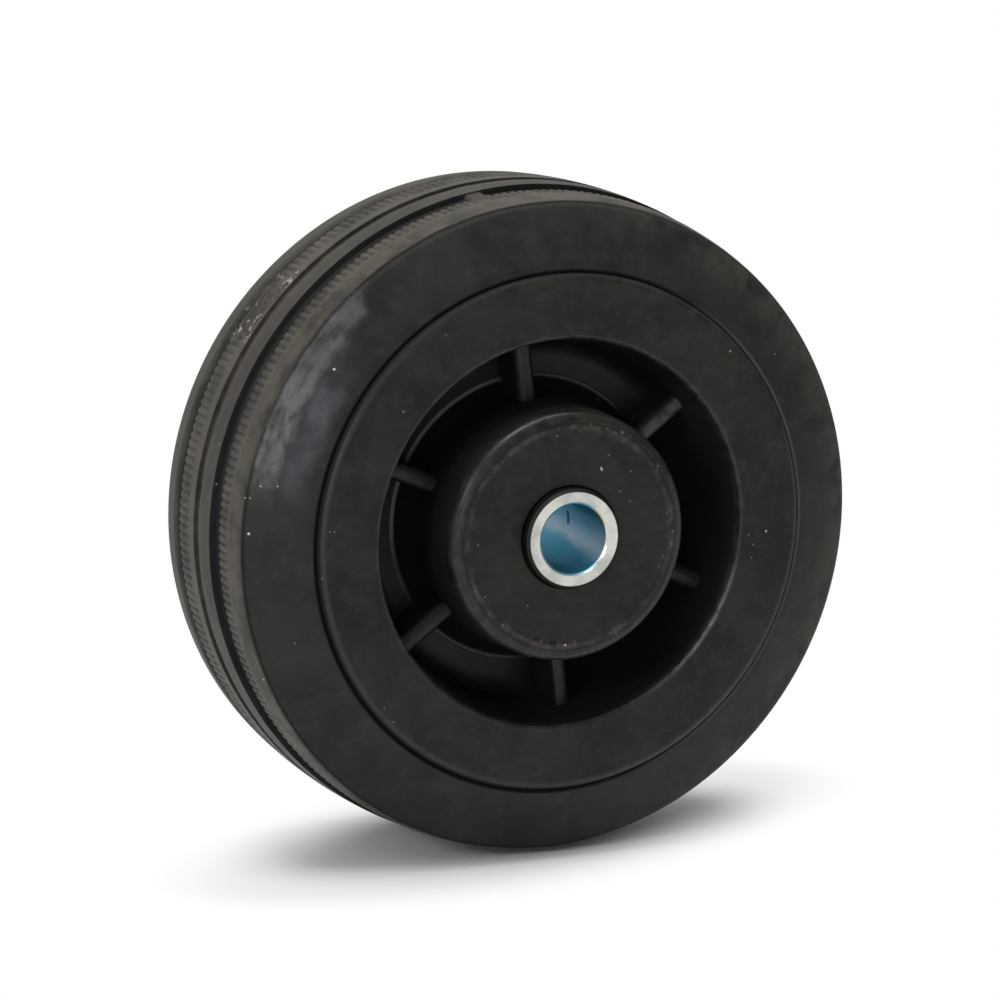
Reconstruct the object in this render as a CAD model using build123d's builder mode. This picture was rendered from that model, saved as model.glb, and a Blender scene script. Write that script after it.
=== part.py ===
# Rubber trolley wheel, 80 mm: a moulded plastic wheel centre with six ribs a side, a black rubber
# tyre seated between its flanges, and a plated steel axle tube that the wheel turns on.
# Millimetres. The origin is the middle of the wheel, on its axis. The axis is Y, the open face in
# the main view looks towards -Y and +Z is up.

from build123d import *
import os

os.makedirs("parts", exist_ok=True)

# Tyre: its thickness is measured from the seat to the crown of the tread, 80 mm across
TYRE_THICKNESS = 15.0
CROWN_DROP = 0.8
TREAD_HALF = 12.0
SHOULDER_ROUND = 1.7
LIP_STEP = 0.4
LIP_ROUND = 0.3

# Wheel centre, rim: the channel that the tyre sits in, and the wall under it
SEAT_RADIUS = 25.0
SEAT_HALF = 12.5
FLANGE_HEIGHT = 6.2
FLANGE_THICKNESS = 3.5
WALL_AT_MOUTH = 1.65
WALL_AT_FOOT = 3.7
SEAT_CORNER = 0.8
RIM_EDGE_ROUND = 1.0
MOUTH_EDGE_ROUND = 0.5

# Wheel centre, web, hub and ribs
WEB_HALF = 5.0
HUB_STAND_OUT = 2.2
BOSS_RADIUS = 15.0
BOSS_DRAFT = 0.4
BOSS_EDGE_ROUND = 1.3
BOSS_FOOT_ROUND = 1.7
WALL_FOOT_ROUND = 2.4
RIB_HEIGHT = 5.5
RIB_THICKNESS = 2.4
RIB_EDGE_ROUND = 1.1
RIB_ROOT = 0.5
RIBS = 6
FIRST_RIB_ANGLE = 37.0

# Axle tube, and the running clearance of the hub on it
TUBE_RADIUS = 6.0
TUBE_BORE_RADIUS = 4.2
TUBE_STAND_OUT = 1.3
TUBE_OUTER_CHAMFER = 0.35
TUBE_BORE_CHAMFER = 0.25
RUNNING_CLEARANCE = 0.05
HUB_BORE_CHAMFER = 0.25

# Tread pattern: a groove behind each of the two lands, and a middle rib parted by a fine stepped line.
# The bands of the front half are counted from the front edge, those of the rear half from the rear edge.
FRONT_LAND_WIDTH = 3.5
FLANK_WIDTH = 2.6
FLANK_DROP = 0.2
FRONT_GROOVE_WIDTH = 2.3
FRONT_GROOVE_DEPTH = 0.7
PARTING_SHIFT = 1.25
PARTING_WIDTH = 1.75
PARTING_DEPTH = 0.4
REAR_GROOVE_WIDTH = 2.3
REAR_GROOVE_DEPTH = 0.5
REAR_LAND_WIDTH = 3.5

# Sizes that follow from the ones above
tyre_radius = SEAT_RADIUS + TYRE_THICKNESS
tread_edge_radius = tyre_radius - CROWN_DROP
crown_radius = (TREAD_HALF**2 + CROWN_DROP**2) / (2 * CROWN_DROP)
flange_radius = SEAT_RADIUS + FLANGE_HEIGHT
mouth_radius = SEAT_RADIUS - WALL_AT_MOUTH
wall_foot_radius = SEAT_RADIUS - WALL_AT_FOOT
rim_half = SEAT_HALF + FLANGE_THICKNESS
lip_half = rim_half - LIP_STEP
hub_half = rim_half + HUB_STAND_OUT
tube_half = hub_half + TUBE_STAND_OUT
hub_bore = TUBE_RADIUS + RUNNING_CLEARANCE
boss_foot_radius = BOSS_RADIUS + BOSS_DRAFT
web_width = wall_foot_radius - boss_foot_radius
boss_foot_round = min(BOSS_FOOT_ROUND, web_width * 0.4)
wall_foot_round = min(WALL_FOOT_ROUND, web_width * 0.5)
rib_half = WEB_HALF + RIB_HEIGHT

# Edges of the tread's bands along the axis
flank_top = FRONT_LAND_WIDTH - TREAD_HALF
flank_foot = flank_top + FLANK_WIDTH
middle_rib_front = flank_foot + FRONT_GROOVE_WIDTH
parting_front = PARTING_SHIFT - PARTING_WIDTH
rear_groove_back = TREAD_HALF - REAR_LAND_WIDTH
rear_groove_front = rear_groove_back - REAR_GROOVE_WIDTH
rear_groove = (rear_groove_front + rear_groove_back) / 2


def tread_height(along):
    """Height of the crowned tread above the axis, at a place along it."""
    return tyre_radius - crown_radius + (crown_radius**2 - along**2) ** 0.5


# Tyre: a root that fills the channel between the flanges, sloping side walls over the flange rims
# and a crowned, grooved tread
with BuildPart() as tyre:
    with BuildSketch(Plane.XY):
        with BuildLine():
            Polyline(
                (tread_edge_radius, -TREAD_HALF),
                (flange_radius, -lip_half),
                (flange_radius, -SEAT_HALF),
                (SEAT_RADIUS, -SEAT_HALF),
                (SEAT_RADIUS, SEAT_HALF),
                (flange_radius, SEAT_HALF),
                (flange_radius, lip_half),
                (tread_edge_radius, TREAD_HALF),
            )
            ThreePointArc(
                (tread_edge_radius, TREAD_HALF),
                (tyre_radius, 0),
                (tread_edge_radius, -TREAD_HALF),
            )
        make_face()
        # front land: its inner part slopes down to a narrow, deep groove
        with BuildLine():
            Polyline(
                (tread_height(flank_top), flank_top),
                (tread_height(flank_foot) - FLANK_DROP, flank_foot),
                (tread_height(flank_foot) - FRONT_GROOVE_DEPTH, flank_foot),
                (tread_height(middle_rib_front) - FRONT_GROOVE_DEPTH, middle_rib_front),
                (tyre_radius + 1, middle_rib_front),
                (tyre_radius + 1, flank_top),
                close=True,
            )
        make_face(mode=Mode.SUBTRACT)
        # parting line of the middle rib: a long slope down and a sharp step back up
        with BuildLine():
            Polyline(
                (tread_height(parting_front), parting_front),
                (tread_height(PARTING_SHIFT) - PARTING_DEPTH, PARTING_SHIFT),
                (tyre_radius + 1, PARTING_SHIFT),
                (tyre_radius + 1, parting_front),
                close=True,
            )
        make_face(mode=Mode.SUBTRACT)
        # rear groove: wide, shallow and hollow
        with BuildLine():
            ThreePointArc(
                (tread_height(rear_groove_front), rear_groove_front),
                (tread_height(rear_groove) - REAR_GROOVE_DEPTH, rear_groove),
                (tread_height(rear_groove_back), rear_groove_back),
            )
            Polyline(
                (tread_height(rear_groove_back), rear_groove_back),
                (tyre_radius + 1, rear_groove_back),
                (tyre_radius + 1, rear_groove_front),
                (tread_height(rear_groove_front), rear_groove_front),
            )
        make_face(mode=Mode.SUBTRACT)
        shoulders = [v for v in vertices() if abs(abs(v.Y) - TREAD_HALF) < 0.01]
        fillet(shoulders, SHOULDER_ROUND)
        lips = [v for v in vertices() if abs(abs(v.Y) - lip_half) < 0.01]
        fillet(lips, LIP_ROUND)
        root_corners = [v for v in vertices() if abs(v.X - SEAT_RADIUS) < 0.01]
        fillet(root_corners, SEAT_CORNER)
    revolve(axis=Axis.Y)
tyre.part.label = "tyre"

# Wheel centre: a spool of rim, web and hub turned about the axle, with ribs in both recesses
with BuildPart() as wheel_centre:
    with BuildSketch(Plane.XY):
        with BuildLine():
            Polyline(
                (hub_bore, -hub_half),
                (BOSS_RADIUS, -hub_half),
                (boss_foot_radius, -WEB_HALF),
                (wall_foot_radius, -WEB_HALF),
                (mouth_radius, -rim_half),
                (flange_radius, -rim_half),
                (flange_radius, -SEAT_HALF),
                (SEAT_RADIUS, -SEAT_HALF),
                (SEAT_RADIUS, SEAT_HALF),
                (flange_radius, SEAT_HALF),
                (flange_radius, rim_half),
                (mouth_radius, rim_half),
                (wall_foot_radius, WEB_HALF),
                (boss_foot_radius, WEB_HALF),
                (BOSS_RADIUS, hub_half),
                (hub_bore, hub_half),
                close=True,
            )
        make_face()
        boss_feet = [v for v in vertices() if abs(v.X - boss_foot_radius) < 0.01]
        fillet(boss_feet, boss_foot_round)
        wall_feet = [v for v in vertices() if abs(v.X - wall_foot_radius) < 0.01]
        fillet(wall_feet, wall_foot_round)
        boss_edges = [v for v in vertices() if abs(v.X - BOSS_RADIUS) < 0.01]
        fillet(boss_edges, BOSS_EDGE_ROUND)
        mouth_edges = [v for v in vertices() if abs(v.X - mouth_radius) < 0.01]
        fillet(mouth_edges, MOUTH_EDGE_ROUND)
        rim_edges = [v for v in vertices() if v.X > mouth_radius + 1 and abs(v.Y) > rim_half - 0.01]
        fillet(rim_edges, RIM_EDGE_ROUND)
        bore_edges = [v for v in vertices() if abs(v.X - hub_bore) < 0.01]
        chamfer(bore_edges, HUB_BORE_CHAMFER)
        seat_corners = [v for v in vertices() if abs(v.X - SEAT_RADIUS) < 0.01]
        fillet(seat_corners, SEAT_CORNER)
    revolve(axis=Axis.Y)
    # ribs: one bar through both recesses of each sector, trimmed to the gap between hub and rim
    with BuildSketch(Plane.XZ.offset(-rib_half)):
        middle_of_gap = (BOSS_RADIUS + mouth_radius) / 2
        with PolarLocations(middle_of_gap, RIBS, start_angle=FIRST_RIB_ANGLE):
            Rectangle(mouth_radius - BOSS_RADIUS + 2 * RIB_ROOT, RIB_THICKNESS)
    extrude(amount=2 * rib_half)
    rib_fronts = faces().filter_by(Axis.Y).filter_by(lambda f: abs(abs(f.center().Y) - rib_half) < 0.01)
    fillet(rib_fronts.edges().filter_by(GeomType.LINE), RIB_EDGE_ROUND)
wheel_centre.part.label = "wheel_centre"

# Axle tube: plain tube with chamfered ends, standing a little out of the hub on both sides
with BuildPart() as axle_tube:
    with BuildSketch(Plane.XZ.offset(-tube_half)):
        Circle(TUBE_RADIUS)
        Circle(TUBE_BORE_RADIUS, mode=Mode.SUBTRACT)
    extrude(amount=2 * tube_half)
    end_rims = edges().filter_by(GeomType.CIRCLE)
    chamfer(end_rims.filter_by(lambda e: abs(e.radius - TUBE_RADIUS) < 0.01), TUBE_OUTER_CHAMFER)
    chamfer(end_rims.filter_by(lambda e: abs(e.radius - TUBE_BORE_RADIUS) < 0.01), TUBE_BORE_CHAMFER)
axle_tube.part.label = "axle_tube"

export_step(tyre.part, "parts/tyre.step")
export_step(wheel_centre.part, "parts/wheel_centre.step")
export_step(axle_tube.part, "parts/axle_tube.step")
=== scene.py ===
# Rubber trolley wheel: finish of the plastic wheel centre, the tyre and the plated axle tube, with the
# tyre's notched tread, the floor, the studio light and the camera. Metres, in the model's own frame:
# the axis is Y, the open face in view looks towards -Y and +Z is up.
import bpy
import math
import numpy as np
from mathutils import Matrix, Vector


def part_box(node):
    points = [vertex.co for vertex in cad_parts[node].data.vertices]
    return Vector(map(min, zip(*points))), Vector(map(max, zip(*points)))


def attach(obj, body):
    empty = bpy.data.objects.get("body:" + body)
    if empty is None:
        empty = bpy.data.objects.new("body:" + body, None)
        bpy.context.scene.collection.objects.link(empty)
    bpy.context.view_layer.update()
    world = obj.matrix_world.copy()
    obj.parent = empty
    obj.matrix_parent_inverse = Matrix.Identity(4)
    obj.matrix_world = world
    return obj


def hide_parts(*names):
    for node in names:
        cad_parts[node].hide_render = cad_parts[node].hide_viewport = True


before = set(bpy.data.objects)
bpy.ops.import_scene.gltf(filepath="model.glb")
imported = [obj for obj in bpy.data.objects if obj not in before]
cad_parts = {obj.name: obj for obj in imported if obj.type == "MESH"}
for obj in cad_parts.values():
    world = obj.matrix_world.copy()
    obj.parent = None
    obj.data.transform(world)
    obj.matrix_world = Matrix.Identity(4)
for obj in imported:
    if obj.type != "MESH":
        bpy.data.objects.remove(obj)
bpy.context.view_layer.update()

MM = 0.001

# Sizes read from the model
TYRE_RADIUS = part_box("tyre")[1][2]
RIM_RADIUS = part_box("wheel_centre")[1][2]
HUB_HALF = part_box("wheel_centre")[1][1]
TUBE_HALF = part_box("axle_tube")[1][1]
FLOOR_HEIGHT = -TYRE_RADIUS

# Tyre root, and the tread's crown and shoulders
SEAT_RADIUS = 25.0 * MM
SEAT_HALF = 12.5 * MM
CROWN_DROP = 0.8 * MM
TREAD_HALF = 12.0 * MM
SHOULDER_ROUND = 1.7 * MM
SHOULDER_TOP = 10.8 * MM
LIP_HALF = 15.6 * MM
LIP_ROUND = 0.3 * MM

# Bands of the tread along the axis
FRONT_LAND_END = -8.5 * MM
FRONT_GROOVE_START = -5.9 * MM
FRONT_GROOVE_END = -3.6 * MM
STEP_FOOT = -0.5 * MM
STEP_EDGE = 1.25 * MM
REAR_NOTCH_START = 2.7 * MM
REAR_GROOVE_START = 6.2 * MM
REAR_GROOVE_END = 8.5 * MM
FRONT_GROOVE_DEPTH = 0.7 * MM
FLANK_DROP = 0.2 * MM
STEP_DEPTH = 0.4 * MM
REAR_GROOVE_DEPTH = 0.5 * MM

# Torn patch of the rear notches, and rubber that bridges the front groove, as angles about the axis in
# degrees. The bridge fills a share of the groove's depth.
TORN = (132.5, 144.5)
BRIDGE = (97.2, 101.0)
BRIDGE_HEIGHT = 0.75

# Notches of the tread: their number and depth, and for the four columns of points in each, their places as
# shares of a notch and how far they sink as shares of the depth
NOTCHES = 244
NOTCH_DEPTH = 0.16 * MM
NOTCH_SHARES = np.array([0.0, 0.44, 0.62, 0.86])
NOTCH_SINKS = np.array([0.0, 0.0, 1.0, 1.0])

# Ribs of the wheel centre
RIBS = 6
FIRST_RIB_ANGLE = 37.0

# Single specks of dust, pits and a scrape, listed as places in millimetres
DUST_ON_TYRE = [(-28.2, -13.7, 21.4), (-22.9, -14.3, -29.1), (-38.4, -12.3, 2.4)]
FINE_DUST_ON_TYRE = [
    (-38.2, -12.2, 6.6), (-37.0, -12.6, 8.0), (-35.2, -13.4, 8.0), (-38.98, -3.55, 6.7),
    (-39.1, -5.92, 7.25)]
DUST_ON_CENTRE = [
    (4.0, -18.2, 8.0), (4.1, -18.2, 7.8), (-0.5, -18.2, -13.0), (26.8, -16.0, -1.9), (28.9, -16.0, 11.4)]
FINE_DUST_ON_CENTRE = [
    (-29.7, -16.0, 2.6), (-29.1, -16.0, 2.6), (-30.6, -15.8, -2.9), (-15.0, -16.0, 24.9),
    (-22.8, -16.0, -19.1), (-21.6, -16.0, -20.9), (-1.7, -18.2, 12.3), (11.4, -18.2, 7.7),
    (7.8, -18.2, 3.7), (-10.9, -18.2, -6.3), (-5.4, -18.2, -7.8), (-8.6, -18.2, -9.8),
    (6.5, -18.2, 5.0), (7.9, -18.2, 7.3), (-11.8, -18.2, 0.0), (4.8, -18.2, 12.7),
    (5.0, -18.2, 9.5), (25.1, -16.0, -3.4), (24.9, -16.0, -5.0), (24.5, -16.0, -2.2)]
PITS_ON_HUB = [(-4.4, -18.2, -11.8), (-3.9, -18.2, -12.0), (-2.4, -18.2, -12.6), (-1.9, -18.2, -12.6)]
SCRAPE_IN_BORE = [(4.14, -8.5, 0.7), (4.2, -8.5, 0.2), (4.19, -8.5, -0.25)]

# Near black colours painted for deep shade
SHADE = (0.0005, 0.0005, 0.0005, 1)
SEAM_SHADE = (0.0008, 0.0008, 0.0008, 1)


class Value:
    """A shader socket that takes part in arithmetic: each operator adds the Math node it stands for."""

    def __init__(self, tree, socket):
        self.tree = tree
        self.socket = socket

    def math(self, operation, *others, clamp=False):
        node = self.tree.nodes.new("ShaderNodeMath")
        node.operation = operation
        node.use_clamp = clamp
        for port, item in zip(node.inputs, (self, *others)):
            plug(self.tree, port, item)
        return Value(self.tree, node.outputs[0])

    def __add__(self, other):
        return self.math("ADD", other)

    def __mul__(self, other):
        return self.math("MULTIPLY", other)

    def __sub__(self, other):
        return self.math("SUBTRACT", other)

    def __rsub__(self, other):
        return (self * -1.0).math("ADD", other)

    def __or__(self, other):
        """The larger of two values, which joins two masks."""
        return self.math("MAXIMUM", other)

    def __abs__(self):
        return self.math("ABSOLUTE")

    def clamped(self):
        return self.math("ADD", 0.0, clamp=True)

    __radd__ = __add__
    __rmul__ = __mul__


def plug(tree, port, item):
    """Sets a socket to a number, a colour or a vector, or links it to a value."""
    if isinstance(item, Value):
        tree.links.new(item.socket, port)
    else:
        port.default_value = item


class Finish:
    """A material whose nodes are added by one method. It knows the object's place, the distance from the
    wheel's axis, and the angle about it in degrees, from +X towards +Z: angle from -180 to 180, and turn from
    0 to 360."""

    def __init__(self, name):
        self.material = bpy.data.materials.new(name)
        self.material.use_nodes = True
        self.tree = self.material.node_tree
        self.tree.nodes.clear()
        self.place = self.value(self.node("ShaderNodeTexCoord").outputs["Object"])
        axes = self.node("ShaderNodeSeparateXYZ", Vector=self.place)
        self.x, self.y, self.z = (self.value(port) for port in axes.outputs)
        self.radius = (self.x * self.x + self.z * self.z).math("SQRT")
        self.angle = self.z.math("ARCTAN2", self.x) * (180.0 / math.pi)
        self.turn = (self.angle + 360.0).math("MODULO", 360.0)

    def value(self, socket):
        return Value(self.tree, socket)

    def node(self, kind, settings=None, **ports):
        """A node of a kind, its settings made first, then its sockets filled or linked by name."""
        node = self.tree.nodes.new(kind)
        for key, item in (settings or {}).items():
            setattr(node, key, item)
        for key, item in ports.items():
            plug(self.tree, node.inputs[key.replace("_", " ")], item)
        return node

    def vector_math(self, operation, first, second, output=0):
        """A Vector Math node on two vectors."""
        node = self.node("ShaderNodeVectorMath", {"operation": operation})
        plug(self.tree, node.inputs[0], first)
        plug(self.tree, node.inputs[1], second)
        return self.value(node.outputs[output])

    def vector(self, x, y, z=0.0):
        return self.value(self.node("ShaderNodeCombineXYZ", X=x, Y=y, Z=z).outputs[0])

    def stretched(self, *factors):
        """The object's place with each axis stretched by a factor."""
        return self.vector_math("MULTIPLY", self.place, factors)

    def unrolled(self):
        """The place on the unrolled wheel: the angle about the axis as an arc, the axis, and the radius."""
        return self.vector(self.angle * (TYRE_RADIUS * math.pi / 180.0), self.y, self.radius)

    def noise(self, scale, detail=4.0, roughness=0.55, at=None):
        """Cloudy noise from 0 to 1."""
        node = self.node("ShaderNodeTexNoise", Vector=at or self.place, Scale=scale, Detail=detail,
                         Roughness=roughness)
        return self.value(node.outputs["Fac"])

    def cells(self, scale):
        """Distance to the nearest of many scattered points."""
        node = self.node("ShaderNodeTexVoronoi", {"feature": "F1"}, Vector=self.place, Scale=scale)
        return self.value(node.outputs["Distance"])

    def step(self, value, low, high):
        """0 below low, 1 above high and a smooth rise between; low may be the larger."""
        node = self.node("ShaderNodeMapRange", {"interpolation_type": "SMOOTHSTEP"}, Value=value,
                         From_Min=low, From_Max=high)
        return self.value(node.outputs["Result"])

    def band(self, value, low, high, soft):
        """1 between low and high, with edges that fade over a soft width."""
        return self.step(value, low - soft, low + soft) * self.step(value, high + soft, high - soft)

    def ring(self, inner, outer, soft, drift=0.0):
        """1 between two distances from the axis, in millimetres, which a drift in metres makes uneven."""
        return self.band(self.radius + drift, inner * MM, outer * MM, soft * MM)

    def belt(self, front, rear, soft, drift=0.0):
        """1 between two places along the axis, in millimetres, which a drift in metres makes uneven."""
        return self.band(self.y + drift, front * MM, rear * MM, soft * MM)

    def sector(self, start, end, soft):
        """1 between two angles about the axis, in degrees; past 180 it counts them from 0 to 360."""
        return self.band(self.turn if end > 180.0 else self.angle, start, end, soft)

    def spots(self, places, size):
        """1 inside small balls about the given places, in millimetres."""
        total = None
        for place in places:
            centre = tuple(c * MM for c in place)
            away = self.vector_math("DISTANCE", self.place, centre, output="Value")
            spot = self.step(away, size * MM, 0.5 * size * MM)
            total = spot if total is None else total | spot
        return total

    def mix(self, factor, first, second):
        """Mixes two colours by a factor."""
        node = self.tree.nodes.new("ShaderNodeMix")
        node.data_type = "RGBA"
        for index, item in ((0, factor), (6, first), (7, second)):
            plug(self.tree, node.inputs[index], item)
        return self.value(node.outputs[2])

    def bump(self, height, distance, strength=1.0, under=None):
        """A relief of a height over what lies under it."""
        node = self.node("ShaderNodeBump", Height=height, Distance=distance, Strength=strength)
        if under is not None:
            plug(self.tree, node.inputs["Normal"], under)
        return self.value(node.outputs["Normal"])

    def finish(self, **ports):
        """Adds the surface shader with its sockets and gives the material."""
        return self.output(self.node("ShaderNodeBsdfPrincipled", None, **ports))

    def output(self, shader):
        """Links a shader to the material's surface and gives the material."""
        port = self.node("ShaderNodeOutputMaterial").inputs["Surface"]
        self.tree.links.new(shader.outputs[0], port)
        return self.material


def wall_colour(f, cloud, mottle):
    """Colour of the tyre's side walls: cloudy black, with a rusty tint on the right of the wheel. The front
    wall has a chalky streak outside and a smooth bluish bloom inside on its upper left, both with painted
    sheen where the light falls there, brightest in the middle of the streak."""
    wall = f.mix(f.step(cloud, 0.34, 0.66), (0.0070, 0.0070, 0.0068, 1), (0.0160, 0.0156, 0.0138, 1))
    wall = f.mix(f.step(mottle, 0.42, 0.74) * 0.5, wall, (0.026, 0.0250, 0.0220, 1))
    front = f.step(f.y, 0.0, -1.0 * MM)
    ragged = f.angle + 26.0 * (cloud - 0.5) + 10.0 * (mottle - 0.5)
    # bloom with painted sheen: a bluish patch on the upper left of the front wall, where the light falls
    bloom_and_sheen = f.ring(33.0, 36.0, 1.0, drift=0.002 * (cloud - 0.5)) * f.band(ragged, 137.0, 167.0, 7.0)
    bloom_and_sheen = bloom_and_sheen * front * (0.2 + 0.6 * f.step(cloud, 0.35, 0.6))
    wall = f.mix(bloom_and_sheen, wall, (0.080, 0.083, 0.096, 1))
    streak = f.noise(330.0, detail=6.0, roughness=0.7, at=f.vector(f.angle * 0.0003, f.radius, f.y))
    # chalky streak with painted sheen on the upper left of the front wall, brightest in its middle
    chalk_and_sheen = f.ring(36.5, 40.0, 0.7, drift=0.003 * (streak - 0.5)) * f.band(ragged, 128.0, 171.0, 4.0)
    chalk_and_sheen = chalk_and_sheen * front * f.step(streak + 0.3 * (mottle - 0.5), 0.24, 0.62)
    sheen_peak = 0.7 + 0.5 * f.sector(148.0, 164.0, 6.0)
    wall = f.mix(chalk_and_sheen * sheen_peak, wall, (0.115, 0.113, 0.114, 1))
    rusty = f.step(f.radius, 34.5 * MM, 38.5 * MM) * f.step(cloud + 0.4 * (mottle - 0.5), 0.40, 0.62)
    return f.mix(rusty * f.sector(-56.0, 70.0, 14.0) * 0.8, wall, (0.043, 0.038, 0.028, 1))


def tread_colour(f, mottle):
    """Colour of the tread, and the mask of what is free of dust and darkened by painted shade. Dust lies on
    the high parts; the grooves, the gaps of the notches and the step's riser are free of dust and darkened by
    painted shade; the crests are pale with dust and painted sheen, and a thin line of painted sheen lies in
    the front groove. The torn patch is brown with pale crumbs, and the bridge is dark brown."""
    unrolled = f.unrolled()
    dust = f.noise(260.0, detail=5.0, roughness=0.6, at=unrolled)
    from_torn = abs(f.angle - sum(TORN) / 2)
    torn = f.step(f.noise(420.0, detail=4.0, at=unrolled) * 16.0 + from_torn, 14.6, 12.6)
    torn = torn * f.belt(1.7, 8.2, 0.3, drift=0.0030 * (f.noise(520.0, detail=4.0, at=unrolled) - 0.5))
    bridge = f.sector(BRIDGE[0] + 0.3, BRIDGE[1] - 0.3, 0.3) * f.belt(-7.6, -3.5, 0.3)
    # dust-free and darkened by painted shade: notch gaps of both rows, the front groove, the hollow rear one,
    # the stepped line
    notch = f.band((f.angle * (NOTCHES / 360.0)).math("FRACT"), 0.56, 0.92, 0.16)
    rows = f.belt(-8.3, -5.9, 0.1) * 0.5 + f.belt(3.2, 6.3, 0.4) * 0.4
    line = f.step(f.y, -1.1 * MM, 0.6 * MM) * f.step(f.y, 1.36 * MM, 1.16 * MM)
    bare_and_shaded = rows * notch * (0.30 + 0.4 * dust) | f.belt(-5.9, -3.55, 0.12) | f.belt(6.7, 8.1, 0.6) * 0.9
    bare_and_shaded = (bare_and_shaded | line * 0.30) * (1.0 - torn) * (1.0 - bridge)
    # dust, duller on the middle rib, greenish on the rear land and palest on the crests, with painted sheen
    # there
    colour = f.mix(f.step(dust, 0.36, 0.64), (0.022, 0.0190, 0.0138, 1), (0.058, 0.0505, 0.0385, 1))
    colour = f.mix(f.step(mottle, 0.50, 0.66) * 0.5, colour, (0.060, 0.050, 0.041, 1))
    colour = f.mix(f.belt(-3.4, -0.6, 0.3) * 0.7, colour, (0.030, 0.0265, 0.0215, 1))
    colour = f.mix(f.step(f.y, 7.8 * MM, 9.0 * MM) * 0.85, colour, (0.038, 0.0385, 0.0285, 1))
    crests = f.belt(-8.75, -8.35, 0.1) + f.belt(1.35, 2.9, 0.3)
    colour = f.mix(crests * 0.6, colour, (0.062, 0.056, 0.047, 1))
    colour = f.mix(bare_and_shaded, colour, (0.0070, 0.0070, 0.0078, 1))
    # thin line of painted sheen in the front groove, the torn patch with its crumbs, and the bridge
    groove_sheen = f.belt(-4.85, -4.55, 0.12) * f.sector(146.0, 172.0, 2.0)
    colour = f.mix(groove_sheen * 0.5, colour, (0.040, 0.041, 0.046, 1))
    hide = f.mix(f.step(mottle, 0.42, 0.62), (0.014, 0.011, 0.009, 1), (0.046, 0.034, 0.028, 1))
    crumbs = f.step(f.noise(900.0, detail=4.0, at=unrolled) + 0.02 * from_torn, 0.64, 0.71)
    colour = f.mix(torn, colour, f.mix(crumbs, hide, (0.25, 0.23, 0.20, 1)))
    return f.mix(bridge * 0.9, colour, (0.028, 0.022, 0.017, 1)), bare_and_shaded


def rubber():
    """Worn black rubber: matt side walls, and a tread with dust on it that ends at a wavering dark edge. By
    the rim the lip has painted shade on the left and a pale painted highlight on the right. White specks lie
    on all of it."""
    f = Finish("tyre rubber")
    cloud = f.noise(110.0, detail=6.0, roughness=0.62)
    mottle = f.noise(420.0, detail=5.0, roughness=0.65)
    grain = f.noise(2600.0, detail=3.0)
    wavering = abs(f.y) + 0.0003 * (mottle - 0.5)
    tread = f.step(wavering, 11.75 * MM, 11.55 * MM)
    tread_base, bare_and_shaded = tread_colour(f, mottle)
    base = f.mix(tread, wall_colour(f, cloud, mottle), tread_base)
    edge = f.band(wavering, 11.62 * MM, 11.98 * MM, 0.22 * MM)
    base = f.mix(edge * 0.85, base, (0.0075, 0.0068, 0.0048, 1))
    # painted light on the tyre's lip by the rim: painted shade on the left, a pale painted highlight on the
    # right
    by_rim = f.step(f.radius, 31.75 * MM, 31.45 * MM)
    lip = by_rim * (1.0 - f.sector(-75.0, 55.0, 20.0))
    base = f.mix(lip, base, SEAM_SHADE)
    base = f.mix(by_rim * f.sector(-62.0, 50.0, 14.0), base, (0.046, 0.044, 0.038, 1))
    specks = f.step(f.cells(330.0), 0.05, 0.03) * f.step(f.noise(60.0), 0.56, 0.62)
    dust = f.spots(DUST_ON_TYRE, 0.20) | f.spots(FINE_DUST_ON_TYRE, 0.18) * 0.4
    base = f.mix(specks | dust, base, (0.50, 0.49, 0.46, 1))
    rough = 0.50 + 0.14 * cloud + 0.06 * grain - 0.04 * tread + 0.36 * (tread * bare_and_shaded | edge | lip)
    relief = f.bump(cloud, 0.0004, 0.25, under=f.bump(mottle, 0.00012, 0.35))
    normal = f.bump(grain, 0.00004, 0.5, under=relief)
    return f.finish(Base_Color=base, Roughness=rough, Normal=normal, Specular_IOR_Level=0.27)


def rib_crests(f):
    """1 on the rounded tops of the ribs: near the middle line of a rib, which is found from the share of a
    sixth of a turn, and at the height of the ribs' tops."""
    share = ((f.angle - FIRST_RIB_ANGLE) * (RIBS / 360.0) + 0.5).math("FRACT") - 0.5
    aside = abs(share * f.radius * (2 * math.pi / RIBS))
    return f.step(aside, 0.9 * MM, 0.5 * MM) * f.band(abs(f.y), 10.2 * MM, 10.6 * MM, 0.1 * MM)


def moulding_colour(f, cloud, mottle, crest):
    """Colour of the moulding itself: cloudy brown-black, with painted shade that makes it darker in the
    recesses, darkest low on their right and on the left flank of the hub. Gives the mask of the darkest
    painted shade as well, where the surface is also rougher."""
    depth = abs(f.y)
    base = f.mix(f.step(cloud, 0.36, 0.64), (0.0036, 0.0037, 0.0038, 1), (0.0120, 0.0117, 0.0084, 1))
    base = f.mix(f.step(mottle, 0.44, 0.70) * 0.6, base, (0.0200, 0.0190, 0.0158, 1))
    # painted shade: darker in the recesses, darkest low on their right, and darkest on the hub's left flank
    recess = f.step(depth, 15.4 * MM, 14.4 * MM) * f.ring(15.0, 23.2, 0.2)
    base = f.mix(recess * 0.6, base, (0.0060, 0.0059, 0.0054, 1))
    painted_shade = recess * f.sector(-92.0, 36.0, 8.0) * (1.0 - crest)
    base = f.mix(painted_shade, base, SHADE)
    flank = f.ring(14.9, 15.5, 0.05) * f.step(depth, 17.0 * MM, 15.8 * MM)
    base = f.mix(flank * f.sector(80.0, 280.0, 12.0) * 0.85, base, (0.0010, 0.0010, 0.0010, 1))
    return base, painted_shade | flank * 0.5


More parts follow.
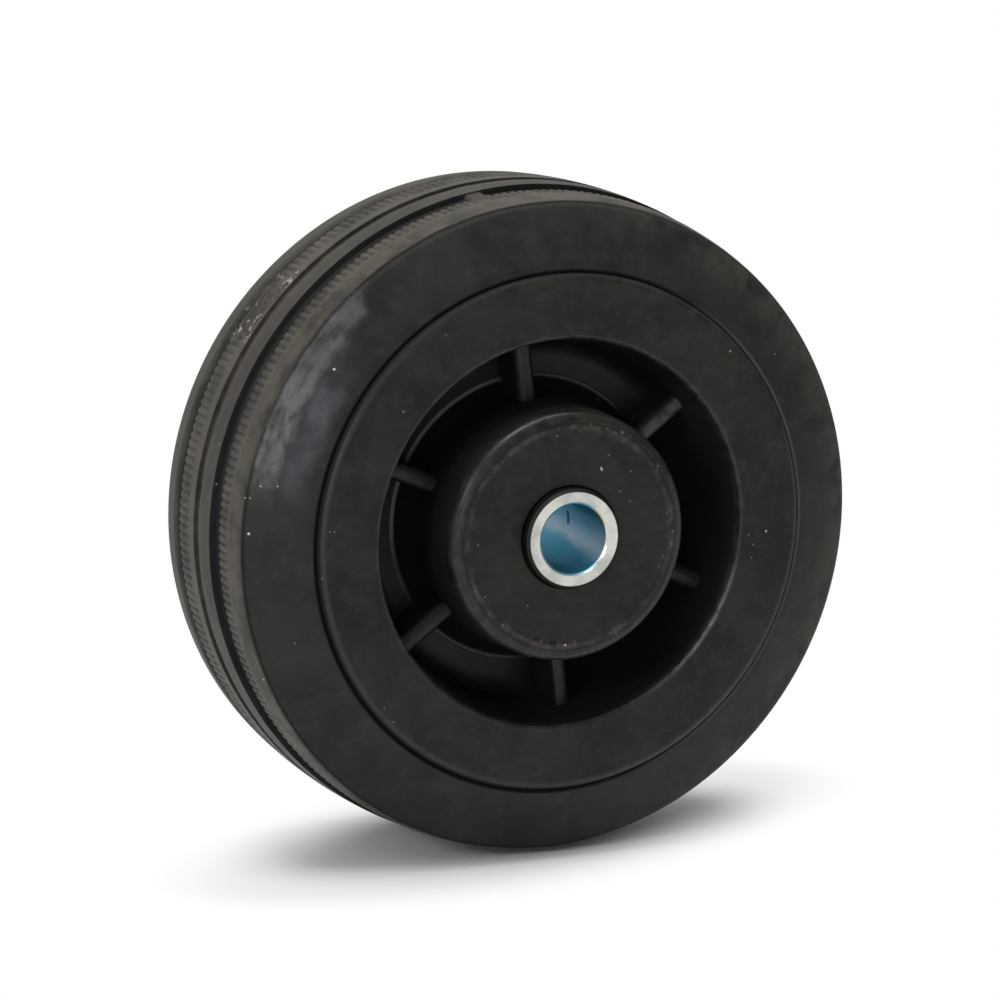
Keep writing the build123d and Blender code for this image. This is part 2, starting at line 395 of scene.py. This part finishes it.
def hub_marks(f, base, cloud, rubbed):
    """Marks of the hub's face: a rubbed witness line with glints in it, and a fine dark line outside it.
    Gives the colour and the witness line."""
    face = f.step(abs(f.y), HUB_HALF - 0.5 * MM, HUB_HALF - 0.2 * MM)
    wander = 0.0010 * (f.noise(230.0, detail=3.0) - 0.5)
    line = f.ring(12.9, 13.5, 0.3, drift=wander) * face
    pale = line * f.step(rubbed + 0.5 * (cloud - 0.5), 0.38, 0.62) * 0.8
    base = f.mix(pale, base, (0.054, 0.043, 0.036, 1))
    glints = f.step(f.noise(1700.0, detail=2.0), 0.60, 0.68) * f.step(cloud, 0.50, 0.58)
    base = f.mix(f.ring(12.6, 13.9, 0.3, drift=wander) * face * glints, base, (0.17, 0.15, 0.13, 1))
    return f.mix(f.ring(13.62, 13.74, 0.05) * face * 0.7, base, (0.001, 0.001, 0.001, 1)), line


def edge_wear(f, base, mottle, rubbed, crest):
    """Edges worn pale: the corners of rim, mouth and hub, the ribs' crests and a ridge on the web, with the
    rim's corners kept darker on the right by painted shade. Then painted light and shade: painted shade round
    the hub's foot, painted highlights on the ridge's left, on stretches of the rim's and the mouth's edge and
    on the upper right rib's crest, painted shade on the lower right rib's crest, paler painted sheen on the
    rim's round at the left, and painted shade in the seam by the tyre. Gives the colour and the masks of
    wear, ridge, the painted shade round the hub's foot and the seam's painted shade."""
    depth = abs(f.y)
    rim = f.step(depth, 14.9 * MM, 15.1 * MM)
    # the rim's worn corners are kept darker on the right by painted shade
    shaded = 1.0 - 0.8 * f.sector(-35.0, 45.0, 15.0)
    corners = (f.ring(30.2, 31.3, 0.15) * shaded + f.ring(23.0, 23.8, 0.15)) * rim
    corners = corners + f.ring(13.8, 15.1, 0.15) * f.step(depth, 16.4 * MM, 17.0 * MM)
    ridge = f.ring(17.0, 17.45, 0.10) * f.band(depth, 4.5 * MM, 5.6 * MM, 0.2 * MM)
    wear = corners | crest * 0.6 | ridge
    base = f.mix(wear * (0.25 + 0.6 * f.step(mottle, 0.40, 0.66)), base, (0.026, 0.0245, 0.0215, 1))
    # painted highlight along the ridge on the left, where the light falls
    base = f.mix(ridge * f.sector(100.0, 186.0, 12.0), base, (0.095, 0.093, 0.087, 1))
    # painted shade round the hub's foot, in the corner by the web
    foot_shade = f.ring(15.3, 16.95, 0.12) * f.step(depth, 8.5 * MM, 7.5 * MM)
    base = f.mix(foot_shade, base, SHADE)
    # painted highlights on a stretch of the rim's edge at the upper left and of the mouth's edge at the lower
    # right
    frayed = 0.0001 * (rubbed - 0.5)
    upper = f.ring(30.32, 30.52, 0.12, drift=frayed) * f.sector(132.0, 160.0, 16.0)
    lower = f.ring(23.30, 23.62, 0.12, drift=frayed) * f.sector(308.0, 340.0, 14.0)
    base = f.mix((upper | lower * 0.6) * rim * f.step(rubbed, 0.25, 0.60), base, (0.17, 0.162, 0.15, 1))
    # painted highlight on the crest of the upper right rib, and painted shade on the crest of the lower right
    # rib
    upper_rib = crest * f.sector(20.0, 54.0, 4.0) * f.step(rubbed, 0.30, 0.66)
    base = f.mix(upper_rib, base, (0.066, 0.065, 0.062, 1))
    base = f.mix(crest * f.sector(-40.0, -5.0, 4.0), base, (0.012, 0.012, 0.012, 1))
    # paler painted sheen on the rim's outer round on the left
    left_round = f.ring(30.25, 30.8, 0.1) * rim * f.sector(110.0, 230.0, 20.0)
    base = f.mix(left_round, base, (0.020, 0.0195, 0.0175, 1))
    # painted shade in the seam by the tyre, round its top, left and bottom
    seam = f.step(f.radius, 30.65 * MM, 30.95 * MM) * rim * f.sector(70.0, 280.0, 15.0)
    return f.mix(seam, base, SEAM_SHADE), wear, ridge, foot_shade, seam


def plastic():
    """Black moulded plastic, satin and a little brown: the moulding's own colour with painted shade, the
    marks of the hub's face, and the worn edges with painted highlights and shade, with faint scratches, dust
    and pits over them and a fine grain."""
    f = Finish("moulded plastic")
    cloud = f.noise(140.0, detail=6.0, roughness=0.62)
    mottle = f.noise(600.0, detail=5.0, roughness=0.65)
    rubbed = f.noise(520.0, detail=5.0, roughness=0.65)
    grain = f.noise(3200.0, detail=2.0)
    crest = rib_crests(f)
    base, painted_shade = moulding_colour(f, cloud, mottle, crest)
    base, line = hub_marks(f, base, cloud, rubbed)
    base, wear, ridge, foot_shade, seam = edge_wear(f, base, mottle, rubbed, crest)
    scratch = f.step(abs(f.noise(170.0, detail=1.0, at=f.stretched(1.0, 1.0, 7.0)) - 0.5), 0.006, 0.002)
    base = f.mix(scratch * f.step(cloud, 0.50, 0.60) * 0.2, base, (0.050, 0.048, 0.045, 1))
    specks = f.step(f.cells(300.0), 0.055, 0.03) * f.step(f.noise(75.0), 0.53, 0.60)
    dust = f.spots(DUST_ON_CENTRE, 0.17) | f.spots(FINE_DUST_ON_CENTRE, 0.15) * 0.25
    base = f.mix(specks * 0.4 | dust, base, (0.42, 0.40, 0.37, 1))
    base = f.mix(f.spots(PITS_ON_HUB, 0.40), base, (0.002, 0.002, 0.002, 1))
    rough = 0.36 + 0.18 * cloud + 0.10 * mottle - 0.08 * line - 0.16 * wear
    rough = rough + 0.5 * (foot_shade | painted_shade) + 0.4 * seam
    relief = f.bump(ridge, 0.00005, 1.0, under=f.bump(line * (0.4 + rubbed), 0.00015, 0.5))
    relief = f.bump(cloud, 0.0003, 0.2, under=relief)
    normal = f.bump(grain + mottle, 0.00003, 0.5, under=relief)
    return f.finish(Base_Color=base, Roughness=rough, Normal=normal, Specular_IOR_Level=0.28)


def zinc():
    """Bright zinc plate over steel: fine lathe rings on the end faces, cloudy passivation, an outer chamfer
    darkened by painted shade, and a bluish bore with painted reflections that run from pale blue-grey to teal
    and, by its mouth, to a golden hint."""
    f = Finish("zinc plate")
    cloud = f.noise(420.0, detail=5.0)
    rings = f.noise(9000.0, at=f.vector(f.radius, f.y * 0.2))
    outer = f.mix(f.step(cloud, 0.35, 0.65), (0.49, 0.51, 0.48, 1), (0.72, 0.72, 0.67, 1))
    # the outer chamfer darkened by painted shade
    chamfer = f.step(f.radius, 5.60 * MM, 5.68 * MM)
    outer = f.mix(chamfer, outer, (0.030, 0.030, 0.026, 1))
    # bore: painted reflections in pale and teal bands that slope along it
    drift = f.noise(160.0, detail=2.0, at=f.stretched(1.0, 0.6, 1.0))
    teal = f.mix(drift, (0.10, 0.44, 0.58, 1), (0.20, 0.56, 0.68, 1))
    pale = f.mix(cloud, (0.66, 0.74, 0.82, 1), (0.80, 0.84, 0.88, 1))
    bands = (f.z * 650.0 - f.y * 60.0 - 1.42 + 1.6 * drift).math("COSINE")
    bore = f.mix(f.step(bands + 0.4 * (cloud - 0.5), -0.45, 0.4), teal, pale)
    # golden painted reflection by the bore's mouth, on the right
    gold_reflection = f.sector(-12.0, 66.0, 10.0) * f.step(abs(f.y), TUBE_HALF - 2.2 * MM, TUBE_HALF - 0.8 * MM)
    bore = f.mix(gold_reflection * f.step(cloud, 0.45, 0.6), bore, (0.62, 0.50, 0.26, 1))
    inside = f.step(f.radius, 4.42 * MM, 4.28 * MM)
    base = f.mix(inside, outer, bore)
    base = f.mix(f.spots(SCRAPE_IN_BORE, 0.50) * 0.85, base, (0.03, 0.05, 0.06, 1))
    rough = 0.20 + 0.12 * cloud + 0.05 * rings + 0.12 * inside + 0.3 * chamfer
    normal = f.bump(rings, 0.00002, 0.4, under=f.bump(cloud, 0.0001, 0.2))
    return f.finish(Base_Color=base, Metallic=1.0, Roughness=rough, Normal=normal)


def crown(along):
    """Height of the tread's circular crown above the axis: the radius less the sagitta at that place."""
    bow = (TREAD_HALF**2 + CROWN_DROP**2) / (2 * CROWN_DROP)
    return TYRE_RADIUS - bow + np.sqrt(bow**2 - along**2)


def smooth(value, low, high):
    """Rises from 0 at low to 1 at high along a cubic with level ends."""
    share = np.clip((value - low) / (high - low), 0.0, 1.0)
    return share * share * (3.0 - 2.0 * share)


def rounded(start, corner, end, radius, count):
    """Points of the arc that rounds a corner between two straight runs: the two radii to where the arc meets
    the runs, weighted by the sines of the angles that are left and done."""
    start, corner, end = (np.array(p, float) for p in (start, corner, end))
    back = (start - corner) / np.linalg.norm(start - corner)
    ahead = (end - corner) / np.linalg.norm(end - corner)
    half = math.acos(float(back @ ahead)) / 2
    middle = corner + (back + ahead) / np.linalg.norm(back + ahead) * radius / math.sin(half)
    first = corner + back * radius / math.tan(half) - middle
    last = corner + ahead * radius / math.tan(half) - middle
    turn = math.pi - 2 * half
    share = np.linspace(0.0, 1.0, count)[:, None]
    return middle + (np.sin((1 - share) * turn) * first + np.sin(share * turn) * last) / math.sin(turn)


def tread_places():
    """Places along the axis of the tread's rings between the two shoulders, closer at steps and grooves."""
    edge = 0.02 * MM
    groove_foot = 0.35 * MM
    runs = [
        np.linspace(-SHOULDER_TOP, FRONT_LAND_END, 4),
        np.linspace(FRONT_LAND_END + 0.15 * MM, FRONT_GROOVE_START, 6),
        FRONT_GROOVE_START + np.array([edge, groove_foot]),
        FRONT_GROOVE_END - np.array([groove_foot, edge]),
        np.linspace(FRONT_GROOVE_END, STEP_FOOT, 4),
        np.linspace(STEP_FOOT + 0.3 * MM, STEP_EDGE - edge, 5),
        np.linspace(STEP_EDGE, REAR_NOTCH_START, 4),
        np.linspace(REAR_NOTCH_START + 0.15 * MM, REAR_GROOVE_START, 6),
        np.linspace(REAR_GROOVE_START + 0.3 * MM, REAR_GROOVE_END, 6),
        np.linspace(REAR_GROOVE_END + 0.5 * MM, SHOULDER_TOP, 3),
    ]
    return np.concatenate(runs)


def tread_drop(along):
    """How far the tread lies under its crown without its notches: the flank of the front land and the step
    sink along a smooth cubic, the front groove is level, and the rear groove is a parabola."""
    flank = FLANK_DROP * smooth(along, FRONT_LAND_END, FRONT_GROOVE_START)
    flank = flank * (along <= FRONT_GROOVE_START)
    groove = FRONT_GROOVE_DEPTH * ((along > FRONT_GROOVE_START) & (along < FRONT_GROOVE_END))
    step = STEP_DEPTH * smooth(along, STEP_FOOT, STEP_EDGE - 0.6 * MM)
    step = step * ((along > STEP_FOOT) & (along < STEP_EDGE))
    middle = (REAR_GROOVE_START + REAR_GROOVE_END) / 2
    reach = (REAR_GROOVE_END - REAR_GROOVE_START) / 2
    hollow = REAR_GROOVE_DEPTH * np.clip(1 - ((along - middle) / reach) ** 2, 0, 1)
    return flank + groove + step + hollow


def notch_depth(along):
    """Depth of the notches: none on the lands, full over most of both notched bands, fading to the rear
    groove."""
    front = smooth(along, FRONT_LAND_END, FRONT_LAND_END + 0.35 * MM) * (along <= FRONT_GROOVE_START)
    rear = smooth(along, REAR_NOTCH_START, REAR_NOTCH_START + 0.9 * MM)
    rear = rear * (1 - smooth(along, REAR_GROOVE_START - 0.2 * MM, REAR_GROOVE_START + 0.9 * MM))
    return NOTCH_DEPTH * (front + rear)


def between(turn, limits, soft):
    """1 between two angles in degrees and 0 outside them, with a soft rise inside each."""
    start, end = limits
    return smooth(turn, start, start + soft) * (1 - smooth(turn, end - soft, end))


def degrees_about(angle):
    """An angle about the axis in degrees, from -180 to 180."""
    return np.degrees((angle + math.pi) % (2 * math.pi) - math.pi)


def bridged(along, angle):
    """Share of the front groove that is filled: a short bridge of rubber between two angles."""
    return between(degrees_about(angle), BRIDGE, 0.5) * (along < 0)


def notches_left(along, angle):
    """Share of the notches left at a place: none in the torn patch, whose ends wave by a sine along the axis,
    and none where rubber bridges the front groove."""
    wavy = degrees_about(angle) + 1.1 * np.sin(along * 2100.0)
    torn = between(wavy, TORN, 1.0) * (along > 0)
    return 1 - np.maximum(torn, bridged(along, angle))


def tyre_profile():
    """Closed outline of the tyre's section, its tread still plain, as radius and place along the axis: from
    the front of its root over the front lip and wall, the tread and the rear wall to the rear of its root."""
    flange = (RIM_RADIUS, -SEAT_HALF)
    corner = (RIM_RADIUS, -LIP_HALF)
    edge = (float(crown(np.array(TREAD_HALF))), -TREAD_HALF)
    inner = (float(crown(np.array(-SHOULDER_TOP))), -SHOULDER_TOP)
    lip = rounded(flange, corner, edge, LIP_ROUND, 4)
    shoulder = rounded(corner, edge, inner, SHOULDER_ROUND, 7)
    share = np.linspace(0.0, 1.0, 7)[1:-1, None]
    wall = lip[-1] * (1 - share) + shoulder[0] * share
    front = np.concatenate([[(SEAT_RADIUS, -SEAT_HALF), flange], lip, wall, shoulder[:-1]])
    along = tread_places()
    tread = np.stack([crown(along), along], -1)
    rear = front[::-1] * (1, -1)
    return np.concatenate([front, tread, rear])


def mesh_object(name, points, faces):
    """A piece from its points and its four-sided faces."""
    mesh = bpy.data.meshes.new(name)
    mesh.vertices.add(len(points))
    mesh.vertices.foreach_set("co", points.astype(np.float32).ravel())
    mesh.loops.add(faces.size)
    mesh.loops.foreach_set("vertex_index", faces.astype(np.int32).ravel())
    mesh.polygons.add(len(faces))
    mesh.polygons.foreach_set("loop_start", np.arange(0, faces.size, 4, dtype=np.int32))
    mesh.update(calc_edges=True)
    mesh.validate()
    piece = bpy.data.objects.new(name, mesh)
    bpy.context.scene.collection.objects.link(piece)
    return piece


def ring_surface(name, radius, along, angle):
    """Closed ring: point (i, j) lies at its radius from the axis, at its place along it and at its angle
    about it. Both directions close on themselves."""
    points = np.stack([radius * np.cos(angle), along + 0 * radius, radius * np.sin(angle)], -1)
    index = np.arange(radius.size).reshape(radius.shape)
    below, beside = np.roll(index, -1, 0), np.roll(index, -1, 1)
    across = np.roll(below, -1, 1)
    faces = np.stack([index, beside, across, below], -1).reshape(-1, 4)
    return mesh_object(name, points.reshape(-1, 3), faces)


def tyre_surface():
    """The tyre: its section carried round the axis in four columns to a notch, two on the tooth and two in
    the gap. Each place sinks by the tread's drop, less where the groove is bridged, and in a gap by the
    notch's depth."""
    profile = tyre_profile()
    radius, along = profile[:, :1], profile[:, 1:]
    notch, column = np.divmod(np.arange(NOTCHES * 4), 4)
    angle = ((notch + NOTCH_SHARES[column]) * 2 * math.pi / NOTCHES)[None, :]
    gap = NOTCH_SINKS[column][None, :]
    sunk = tread_drop(along) * (1 - BRIDGE_HEIGHT * bridged(along, angle))
    sunk = sunk + notch_depth(along) * gap * notches_left(along, angle)
    piece = ring_surface("tyre_surface", radius - sunk, along, angle)
    piece.data.polygons.foreach_set("use_smooth", np.ones(len(piece.data.polygons), bool))
    piece.data.set_sharp_from_angle(angle=math.radians(58))
    piece.data.materials.append(rubber())
    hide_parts("tyre")
    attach(piece, "wheel")


def dress(node, material):
    """Gives a solid of the model its material. Its mesh and its shading stay as loaded."""
    mesh = bpy.data.objects[node].data
    mesh.materials.clear()
    mesh.materials.append(material)


def paper():
    """White paper that takes the wheel's shadow in a long oval under the wheel. Past the oval, rays from the
    camera and from glossy or clear surfaces see plain white. The oval is found from the distances across and
    along it, each as a share of its reach that way."""
    f = Finish("floor")
    lit = f.node("ShaderNodeBsdfDiffuse", None, Color=(0.90, 0.90, 0.90, 1))
    white = f.node("ShaderNodeEmission", None, Color=(1, 1, 1, 1), Strength=1.0)
    tilt, half_width, half_length = 0.52, 0.030, 0.074
    across = (f.y - tilt * f.x - 0.002) * (1.0 / half_width)
    ahead = (f.x - 0.009) * (1.0 / half_length)
    away = (across * across + ahead * ahead).math("SQRT")
    rays = f.node("ShaderNodeLightPath").outputs
    seen = f.value(rays["Is Camera Ray"])
    for kind in ("Is Glossy Ray", "Is Transmission Ray"):
        seen = seen | f.value(rays[kind])
    choice = f.node("ShaderNodeMixShader", None, Fac=seen * f.step(away, 0.45, 1.10))
    f.tree.links.new(lit.outputs[0], choice.inputs[1])
    f.tree.links.new(white.outputs[0], choice.inputs[2])
    return f.output(choice)


def floor():
    """Square floor under the wheel."""
    half = 3.0
    corners = ((-half, -half), (half, -half), (half, half), (-half, half))
    mesh = bpy.data.meshes.new("floor")
    mesh.from_pydata([(x, y, FLOOR_HEIGHT) for x, y in corners], [], [(0, 1, 2, 3)])
    mesh.materials.append(paper())
    ground = bpy.data.objects.new("floor", mesh)
    bpy.context.scene.collection.objects.link(ground)


def sky():
    """Soft surroundings: white above and behind the wheel, darker towards the camera's side."""
    world = bpy.data.worlds.new("studio")
    bpy.context.scene.world = world
    world.use_nodes = True
    tree = world.node_tree
    tree.nodes.clear()
    place = tree.nodes.new("ShaderNodeTexCoord").outputs["Generated"]
    split = tree.nodes.new("ShaderNodeSeparateXYZ")
    tree.links.new(place, split.inputs[0])
    x, y, z = (Value(tree, port) for port in split.outputs)
    lean = (z * 0.45 + y * 0.38 - x * 0.22 + 0.34).clamped()
    shade = tree.nodes.new("ShaderNodeMix")
    shade.data_type = "RGBA"
    for index, item in ((0, lean), (6, (0.10, 0.10, 0.10, 1)), (7, (0.82, 0.82, 0.82, 1))):
        plug(tree, shade.inputs[index], item)
    background = tree.nodes.new("ShaderNodeBackground")
    tree.links.new(shade.outputs[2], background.inputs["Color"])
    output = tree.nodes.new("ShaderNodeOutputWorld")
    tree.links.new(background.outputs[0], output.inputs["Surface"])


def lamp(name, place, size, power, colour=(1, 1, 1)):
    """A square soft lamp that faces the wheel."""
    light = bpy.data.lights.new(name, "AREA")
    light.size = size
    light.energy = power
    light.color = colour
    holder = bpy.data.objects.new(name, light)
    holder.location = place
    holder.rotation_euler = (-Vector(place)).to_track_quat("-Z", "Y").to_euler()
    bpy.context.scene.collection.objects.link(holder)


def camera():
    """Long lens to the left of the wheel's axis and a little above it, as in the view of the front."""
    azimuth, elevation, roll = math.radians(-23.923), math.radians(11.685), math.radians(0.239)
    distance, across, up_shift = 0.87094, -0.000863, 0.000983
    picture_pixels = 1000.0
    focal_pixels = 7249.56
    lens = bpy.data.cameras.new("camera")
    lens.sensor_width = 36.0
    lens.lens = focal_pixels * lens.sensor_width / picture_pixels
    lens.clip_start = 0.05
    back = Vector((math.sin(azimuth) * math.cos(elevation), -math.cos(azimuth) * math.cos(elevation),
                   math.sin(elevation)))
    right = Vector((math.cos(azimuth), math.sin(azimuth), 0))
    up = back.cross(right)
    right, up = right * math.cos(roll) + up * math.sin(roll), up * math.cos(roll) - right * math.sin(roll)
    holder = bpy.data.objects.new("camera", lens)
    holder.matrix_world = Matrix((right, up, back)).transposed().to_4x4()
    holder.location = right * across + up * up_shift + back * distance
    bpy.context.scene.collection.objects.link(holder)
    bpy.context.scene.camera = holder


camera()
tyre_surface()
dress("wheel_centre", plastic())
dress("axle_tube", zinc())
floor()
sky()
lamp("overhead right", (0.17, 0.12, 0.77), 0.30, 3.3)
lamp("overhead left", (-0.17, -0.12, 0.77), 0.30, 2.7)
lamp("window", (-0.52, -1.00, 0.13), 0.30, 1.5, (0.90, 0.95, 1.0))
lamp("left", (-0.80, -0.44, 0.38), 0.16, 1.6)
bpy.context.scene.view_settings.view_transform = "Standard"
